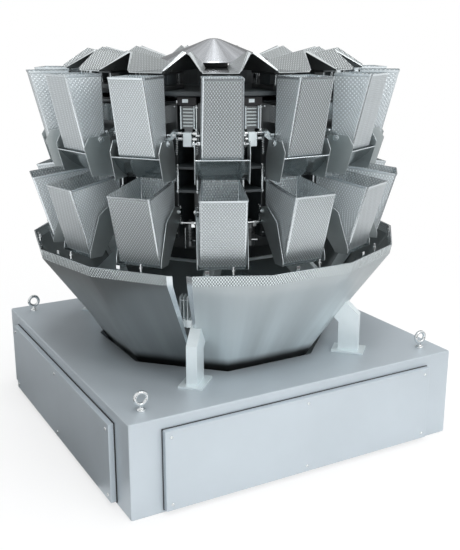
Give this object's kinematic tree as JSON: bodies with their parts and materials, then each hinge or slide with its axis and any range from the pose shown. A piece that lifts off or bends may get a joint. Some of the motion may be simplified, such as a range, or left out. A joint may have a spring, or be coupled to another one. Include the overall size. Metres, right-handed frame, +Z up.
{
  "type": "multihead weigher",
  "caption": "Multihead weigher: radial feeders and a ring of pool and weigh hoppers over a collecting chute, on a square cabinet with a discharge outlet.",
  "frame": {"origin": "centre of the cabinet's underside, on the floor", "axes": "+Z up, -Y towards the front cover, +X to the right seen from the front"},
  "size_m": [1.2306, 1.214, 1.29],
  "materials": {
    "cabinet": "bead-blasted satin stainless sheet",
    "chute": "satin stainless sheet with an embossed rim",
    "stand": "satin stainless tube",
    "hopper": "embossed stainless sheet",
    "gate": "satin stainless sheet",
    "feeders": "embossed stainless sheet",
    "housing": "dark satin housing",
    "polished_cone": "polished stainless sheet"
  },
  "bodies": {
    "frame": {"base_cabinet": "cabinet", "cover_front": "cabinet", "cover_left": "cabinet", "cover_back": "cabinet", "cover_right": "cabinet", "discharge_funnel": "chute", "chute_left": "chute", "chute_back": "chute", "chute_front": "chute", "body_stand": "stand", "centre_body": "housing", "feeder_deck": "feeders", "cone_drive": "housing", "dispersion_cone": "polished_cone", "pool_hopper_01": "hopper", "pool_hopper_02": "hopper", "pool_hopper_03": "hopper", "pool_hopper_04": "hopper", "pool_hopper_05": "hopper", "pool_hopper_06": "hopper", "pool_hopper_07": "hopper", "pool_hopper_08": "hopper", "pool_hopper_09": "hopper", "pool_hopper_10": "hopper", "pool_hopper_11": "hopper", "pool_hopper_12": "hopper", "pool_hopper_13": "hopper", "pool_hopper_14": "hopper", "weigh_hopper_01": "hopper", "weigh_hopper_02": "hopper", "weigh_hopper_03": "hopper", "weigh_hopper_04": "hopper", "weigh_hopper_05": "hopper", "weigh_hopper_06": "hopper", "weigh_hopper_07": "hopper", "weigh_hopper_08": "hopper", "weigh_hopper_09": "hopper", "weigh_hopper_10": "hopper", "weigh_hopper_11": "hopper", "weigh_hopper_12": "hopper", "weigh_hopper_13": "hopper", "weigh_hopper_14": "hopper"},
    "pool_gate_01": {"pool_gate_01": "gate"},
    "pool_gate_02": {"pool_gate_02": "gate"},
    "pool_gate_03": {"pool_gate_03": "gate"},
    "pool_gate_04": {"pool_gate_04": "gate"},
    "pool_gate_05": {"pool_gate_05": "gate"},
    "pool_gate_06": {"pool_gate_06": "gate"},
    "pool_gate_07": {"pool_gate_07": "gate"},
    "pool_gate_08": {"pool_gate_08": "gate"},
    "pool_gate_09": {"pool_gate_09": "gate"},
    "pool_gate_10": {"pool_gate_10": "gate"},
    "pool_gate_11": {"pool_gate_11": "gate"},
    "pool_gate_12": {"pool_gate_12": "gate"},
    "pool_gate_13": {"pool_gate_13": "gate"},
    "pool_gate_14": {"pool_gate_14": "gate"}
  },
  "joints": [
    {"name": "pool_gate_01_hinge", "type": "hinge", "parent": "frame", "child": "pool_gate_01", "pos_m": [0, -0.5, 1.012], "axis": [-1, 0, 0], "range_deg": [0, 40]},
    {"name": "pool_gate_02_hinge", "type": "hinge", "parent": "frame", "child": "pool_gate_02", "pos_m": [-0.21694, -0.45048, 1.012], "axis": [-0.901, 0.4339, 0], "range_deg": [0, 40]},
    {"name": "pool_gate_03_hinge", "type": "hinge", "parent": "frame", "child": "pool_gate_03", "pos_m": [-0.39092, -0.31174, 1.012], "axis": [-0.6235, 0.7818, 0], "range_deg": [0, 40]},
    {"name": "pool_gate_04_hinge", "type": "hinge", "parent": "frame", "child": "pool_gate_04", "pos_m": [-0.48746, -0.11126, 1.012], "axis": [-0.2225, 0.9749, 0], "range_deg": [0, 40]},
    {"name": "pool_gate_05_hinge", "type": "hinge", "parent": "frame", "child": "pool_gate_05", "pos_m": [-0.48746, 0.11126, 1.012], "axis": [0.2225, 0.9749, 0], "range_deg": [0, 40]},
    {"name": "pool_gate_06_hinge", "type": "hinge", "parent": "frame", "child": "pool_gate_06", "pos_m": [-0.39092, 0.31174, 1.012], "axis": [0.6235, 0.7818, 0], "range_deg": [0, 40]},
    {"name": "pool_gate_07_hinge", "type": "hinge", "parent": "frame", "child": "pool_gate_07", "pos_m": [-0.21694, 0.45048, 1.012], "axis": [0.901, 0.4339, 0], "range_deg": [0, 40]},
    {"name": "pool_gate_08_hinge", "type": "hinge", "parent": "frame", "child": "pool_gate_08", "pos_m": [0, 0.5, 1.012], "axis": [1, 0, 0], "range_deg": [0, 40]},
    {"name": "pool_gate_09_hinge", "type": "hinge", "parent": "frame", "child": "pool_gate_09", "pos_m": [0.21694, 0.45048, 1.012], "axis": [0.901, -0.4339, 0], "range_deg": [0, 40]},
    {"name": "pool_gate_10_hinge", "type": "hinge", "parent": "frame", "child": "pool_gate_10", "pos_m": [0.39092, 0.31174, 1.012], "axis": [0.6235, -0.7818, 0], "range_deg": [0, 40]},
    {"name": "pool_gate_11_hinge", "type": "hinge", "parent": "frame", "child": "pool_gate_11", "pos_m": [0.48746, 0.11126, 1.012], "axis": [0.2225, -0.9749, 0], "range_deg": [0, 40]},
    {"name": "pool_gate_12_hinge", "type": "hinge", "parent": "frame", "child": "pool_gate_12", "pos_m": [0.48746, -0.11126, 1.012], "axis": [-0.2225, -0.9749, 0], "range_deg": [0, 40]},
    {"name": "pool_gate_13_hinge", "type": "hinge", "parent": "frame", "child": "pool_gate_13", "pos_m": [0.39092, -0.31174, 1.012], "axis": [-0.6235, -0.7818, 0], "range_deg": [0, 40]},
    {"name": "pool_gate_14_hinge", "type": "hinge", "parent": "frame", "child": "pool_gate_14", "pos_m": [0.21694, -0.45048, 1.012], "axis": [-0.901, -0.4339, 0], "range_deg": [0, 40]}
  ]
}
